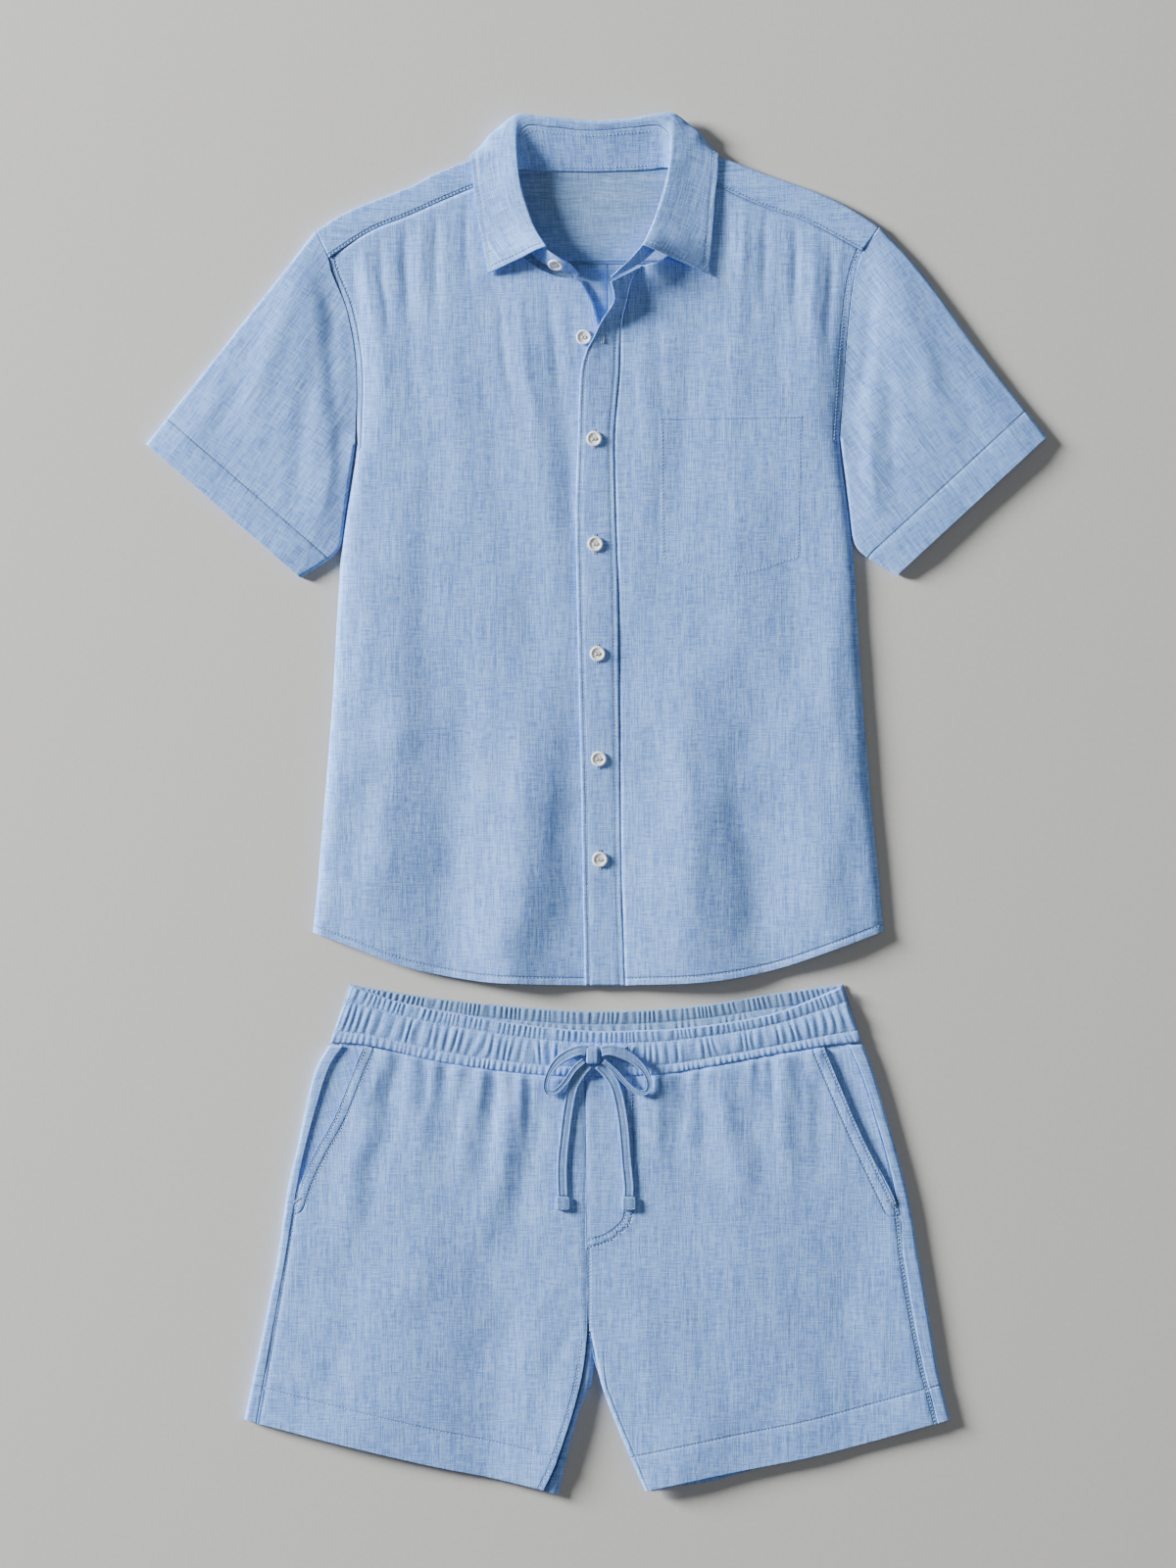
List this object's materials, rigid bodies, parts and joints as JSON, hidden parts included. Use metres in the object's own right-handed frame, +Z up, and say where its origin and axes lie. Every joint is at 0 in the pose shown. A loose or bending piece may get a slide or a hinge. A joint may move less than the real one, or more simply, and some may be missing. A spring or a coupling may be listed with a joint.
{
  "type": "shirt and shorts set",
  "caption": "Short-sleeved button shirt with a collar and chest pocket, and elastic-waist shorts with a tied drawstring, laid flat.",
  "frame": {"origin": "centre of the set's footprint, on the surface it lies on", "axes": "+Y from the shorts towards the shirt collar, +X to the viewer's right, +Z up off the surface"},
  "size_m": [0.7814, 1.196, 0.0275],
  "materials": {
    "linen": "matte",
    "button": "satin",
    "drawcord": "matte"
  },
  "bodies": {
    "root": {"chest_pocket": "linen", "collar_leaf": "linen", "collar_stand": "linen", "drawstring_knot": "drawcord", "drawstring_lead_left": "drawcord", "drawstring_lead_right": "drawcord", "drawstring_loop_left": "drawcord", "drawstring_loop_right": "drawcord", "drawstring_tail_left": "drawcord", "drawstring_tail_right": "drawcord", "drawstring_tip_left": "drawcord", "drawstring_tip_right": "drawcord", "front_placket": "linen", "pocket_facing_left": "linen", "pocket_facing_right": "linen", "shirt_back": "linen", "shirt_button_1": "button", "shirt_button_2": "button", "shirt_button_3": "button", "shirt_button_4": "button", "shirt_button_5": "button", "shirt_button_6": "button", "shirt_button_7": "button", "shirt_front_left": "linen", "shirt_front_right": "linen", "shirt_yoke": "linen", "shorts_back_left": "linen", "shorts_back_right": "linen", "shorts_front_left": "linen", "shorts_front_right": "linen", "sleeve_left": "linen", "sleeve_right": "linen", "waistband_back": "linen", "waistband_front": "linen"}
  },
  "joints": []
}
